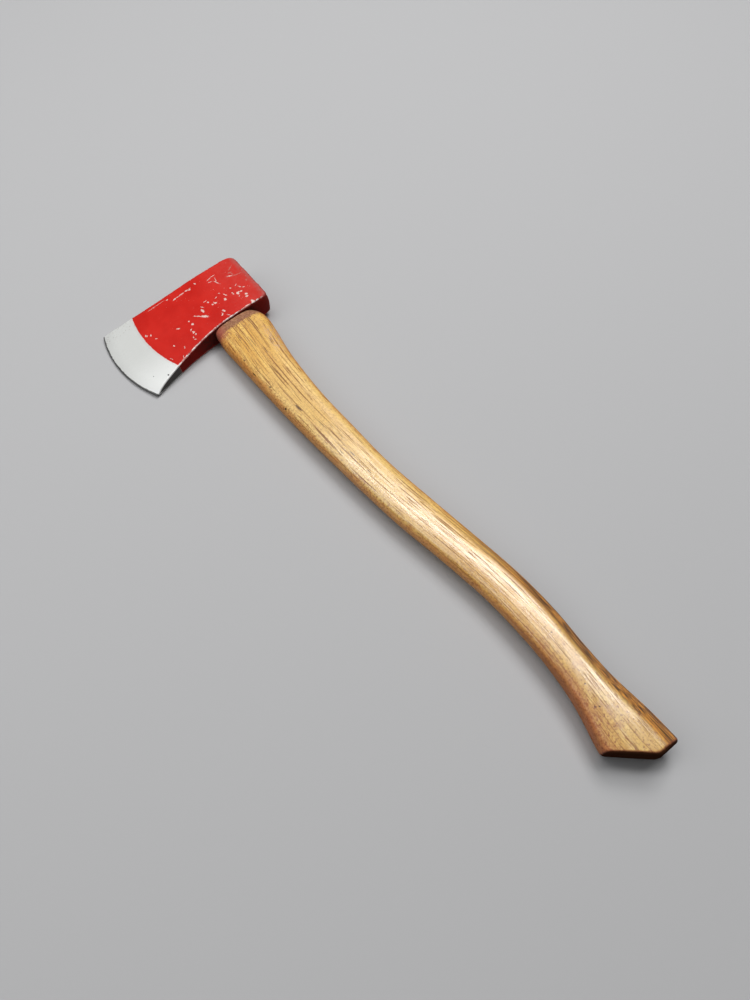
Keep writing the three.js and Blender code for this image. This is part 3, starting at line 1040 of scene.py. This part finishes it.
def rub_and_shade_shoulder(g, at, color):
    """The shoulder's bevel, browned partly as dirt and partly as painted shade, and rubbed with enamel, most
    of all at its bit-side corner.
    """
    toward_head = g.uneven(at.x, at.speckle, 9.0)
    before_head = g.ramp(at.x, 562, 545)
    bevel = g.times(g.ramp(toward_head, RIDGE_X - 2, RIDGE_X + 1.5), before_head)
    # the bevel's brown is partly dirt and partly painted shade on its slope toward the head
    browned_and_shaded = g.mix(g.ramp(at.speckle, 0.4, 0.6), (0.32, 0.14, 0.10), (0.13, 0.05, 0.035))
    color = g.mix(g.times(bevel, 0.85), color, browned_and_shaded)
    smudged = g.times(g.ramp(at.x, 512, 532), g.ramp(at.speckle, 0.5, 0.6), g.ramp(at.x, 536, 532, 0.0, 0.5))
    color = g.mix(smudged, color, (0.24, 0.09, 0.035))
    red_rub = g.times(g.ramp(toward_head, 522, 534), g.ramp(at.side, 0.45, 0.85), before_head)
    color = g.mix(g.times(red_rub, 0.7), color, (0.40, 0.085, 0.06))
    scuffs = g.times(g.ramp(at.x, 470, 488), g.ramp(at.x, 520, 505))
    scuffs = g.times(scuffs, g.ramp(at.side, -0.35, -0.6), g.ramp(at.speckle, 0.46, 0.62))
    return g.mix(g.times(scuffs, 0.5), color, (0.74, 0.58, 0.42))


def handled_places(g, at):
    """Where handling has dulled the varnish: the knob's bit side and end, the poll side and the shoulder."""
    half_way = g.uneven(at.side, g.noise(at.place, 0.09, 3, 0.6), 0.7)
    return g.most(
        g.times(g.ramp(half_way, 0.05, 0.5), g.ramp(at.x, 150, 80, 0.0, 0.8)),
        g.ramp(at.x, 50, 10, 0.0, 0.4),
        g.ramp(at.side, -0.35, -0.55, 0.0, 0.85),
        g.times(g.ramp(at.side, -0.1, -0.35), g.ramp(at.x, 140, 220, 0.0, 0.8)),
        g.ramp(at.x, 340, 405, 0.0, 0.85),
    )


def varnish_coat(g, at, dark_lines, handled, dull_end):
    """How much varnish there is: none on the tongue and the knob's rim, thin over lines and worn places."""
    varnish = g.times(g.ramp(at.x, 545, 530), g.ramp(at.blotch, 0.2, 0.7, 0.8, 1.0))
    varnish = g.times(varnish, g.ramp(at.around, 0.7, 1.0, 1.0, 0.15))
    varnish = g.times(varnish, g.ramp(at.fibre, 0.42, 0.62, 1.0, 0.5))
    varnish = g.times(varnish, g.math("MULTIPLY_ADD", dark_lines, -0.7, 1.0))
    varnish = g.times(varnish, g.ramp(g.streaks(at.place, 40, 1.6, 67), 0.36, 0.54, 0.6, 1.0))
    return g.times(varnish, g.math("MULTIPLY_ADD", handled, -0.9, 1.0), dull_end)


def hickory():
    g = Graph("varnished_hickory")
    at = haft_readings(g)
    color, dark_lines = hickory_grain(g, at)
    color = rub_and_shade_shoulder(g, at, colour_sides(g, at, color))
    # the last few millimetres turn dark brown, the end grain's own colour, then almost black on the end face
    # as painted shade
    near_end = g.uneven(g.attribute("rim"), at.speckle, 0.8)
    color = g.mix(g.ramp(near_end, -0.1, 0.35, 0.0, 0.85), color, (0.26, 0.075, 0.035))
    knob_rim = g.ramp(near_end, 0.2, 0.65)
    color = g.mix(g.times(knob_rim, 0.93), color, (0.022, 0.008, 0.005))
    near_slit = g.uneven(g.strokes(at.place, SLITS), at.fibre, 0.8)
    slits = g.times(g.ramp(near_slit, 1.15, 0.75), g.ramp(at.z, 1, 3))
    color = g.mix(g.times(slits, 0.9), color, (0.035, 0.012, 0.005))

    handled = handled_places(g, at)
    dull_end = g.rest(knob_rim)
    varnish = varnish_coat(g, at, dark_lines, handled, dull_end)
    rough = g.math("MULTIPLY_ADD", handled, 0.2, g.ramp(at.fibre, 0.2, 0.8, 0.34, 0.46))
    shine = g.times(dull_end, g.ramp(at.around, 0.7, 1.0, 0.5, 0.25))
    shine = g.times(shine, g.math("MULTIPLY_ADD", handled, -0.35, 1.0))
    hollow = g.math("SUBTRACT", g.times(at.fibre, 0.5), g.most(dark_lines, slits))
    waves = g.bump(g.streaks(at.place, 60, 5, 71, 2, 0.5), 0.00025, 0.5)
    normal = g.bump(hollow, 0.00012, 0.55, waves)
    return g.finish(color=color, rough=rough, specular=shine, normal=normal,
                    coat=varnish, coat_rough=0.24, coat_ior=2.0, coat_normal=normal)


def wedge_wood():
    g = Graph("raw_wedge_wood")
    place = g.attribute("drawn", "Vector")
    grain = g.noise(g.stretch(place, (0.05, 0.6, 1.6)), 1.6, 4, 0.65)
    pores = g.noise(place, 2.6, 3, 0.6)
    color = g.mix(grain, (0.34, 0.19, 0.08), (0.58, 0.38, 0.19))
    color = g.mix(g.times(g.ramp(pores, 0.58, 0.7), 0.6), color, (0.12, 0.06, 0.03))
    normal = g.bump(g.math("ADD", grain, pores), 0.0002, 0.6)
    return g.finish(color=color, rough=g.ramp(pores, 0.2, 0.8, 0.55, 0.75), normal=normal)


def wedge_steel():
    g = Graph("dull_wedge_steel")
    place = g.attribute("drawn", "Vector")
    blows = g.noise(place, 0.8, 3, 0.6)
    fine = g.noise(place, 3.2, 3, 0.6)
    color = g.mix(blows, (0.22, 0.21, 0.20), (0.44, 0.44, 0.43))
    color = g.mix(g.times(g.ramp(fine, 0.55, 0.7), 0.6), color, (0.16, 0.08, 0.045))
    normal = g.bump(g.math("ADD", blows, fine), 0.00015, 0.7)
    metal, rough = g.ramp(fine, 0.7, 0.5, 0.5, 1.0), g.ramp(fine, 0.2, 0.8, 0.38, 0.6)
    return g.finish(color=color, metal=metal, rough=rough, normal=normal)


# ---------------------------------------------------------------- assembly

head = make_head()
haft = make_haft()
wood_wedge = make_wedge("eye_wedge_split", WOOD_WEDGE, EYE_MIDDLE_Y, False, 0.35)
for slot_y in STEEL_WEDGE_YS:
    cut(wood_wedge, plate("slot", STEEL_WEDGE, slot_y, True, True))
smooth_shade(wood_wedge, 40)
rear_wedge = make_wedge("steel_wedge_rear_driven", STEEL_WEDGE, STEEL_WEDGE_YS[0], True, 0.25)
front_wedge = make_wedge("steel_wedge_front_driven", STEEL_WEDGE, STEEL_WEDGE_YS[1], True, 0.25)
for wedge in (rear_wedge, front_wedge):
    smooth_shade(wedge, 40)

for piece, node, slot, material in (
    (head, "axe_head", "head_enamel", enamel_and_steel()),
    (haft, "haft", "haft_hickory", hickory()),
    (wood_wedge, "eye_wedge", "wedge_wood", wedge_wood()),
    (rear_wedge, "steel_wedge_rear", "wedge_steel", wedge_steel()),
    (front_wedge, "steel_wedge_front", "wedge_steel", wedge_steel()),
):
    put_attribute(piece, "drawn", "FLOAT_VECTOR", drawn_points(piece))
    piece.data.transform(PLACE)
    piece.data.materials.clear()
    piece.data.materials.append(material)
    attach(piece, "root")
    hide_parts(node)

# ---------------------------------------------------------------- floor, light and camera

FLOOR = [(-6, -6, 0), (6, -6, 0), (6, 6, 0), (-6, 6, 0)]  # metres
STUDIO_TINT = (0.95, 0.97, 1)
STUDIO_STRENGTH = 0.045
LENS = 27.04
CAMERA_FROM_KNOB = (0.0564, 0.2548)  # metres along x and y from the drawn origin
CAMERA_HEIGHT = 0.5962
CAMERA_TURN = (28.426, -0.883, -127.818)  # degrees

floor_mesh = bpy.data.meshes.new("floor")
floor_mesh.from_pydata(FLOOR, [], [(0, 1, 2, 3)])
floor = bpy.data.objects.new("floor", floor_mesh)
bpy.context.scene.collection.objects.link(floor)
floor_paint = Graph("pale_floor")
floor_mesh.materials.append(floor_paint.finish(color=(0.43, 0.43, 0.435), rough=0.8, specular=0.2))


def lamp(name, place, turn, size, watts):
    """A rectangular lamp: its place and size in metres, and its turn in degrees."""
    data = bpy.data.lights.new(name, "AREA")
    data.shape = "RECTANGLE"
    data.size, data.size_y = size
    data.energy = watts
    made = bpy.data.objects.new(name, data)
    bpy.context.scene.collection.objects.link(made)
    made.location = place
    made.rotation_euler = [math.radians(a) for a in turn]


lamp("overhead", (0.46, -0.36, 2.4), (0, 0, 58), (2.8, 0.6), 41)
lamp("side", (1.05, -1.5, 2.6), (33, 20, 0), (1.3, 1.3), 48)
lamp("fill", (0.7, 1.4, 1.6), (-41, 22, 0), (1.6, 1.6), 14)
world = bpy.data.worlds.new("studio")
world.use_nodes = True
world.node_tree.nodes["Background"].inputs["Color"].default_value = (*STUDIO_TINT, 1)
world.node_tree.nodes["Background"].inputs["Strength"].default_value = STUDIO_STRENGTH
bpy.context.scene.world = world
bpy.context.scene.view_settings.view_transform = "Standard"

camera_data = bpy.data.cameras.new("camera")
camera_data.lens = LENS
camera_data.sensor_width = 36
camera_data.clip_start = 0.01
camera = bpy.data.objects.new("camera", camera_data)
bpy.context.scene.collection.objects.link(camera)
camera.location = (
    drawn_origin.x + CAMERA_FROM_KNOB[0], drawn_origin.y + CAMERA_FROM_KNOB[1], CAMERA_HEIGHT)
camera.rotation_euler = [math.radians(a) for a in CAMERA_TURN]
bpy.context.scene.camera = camera
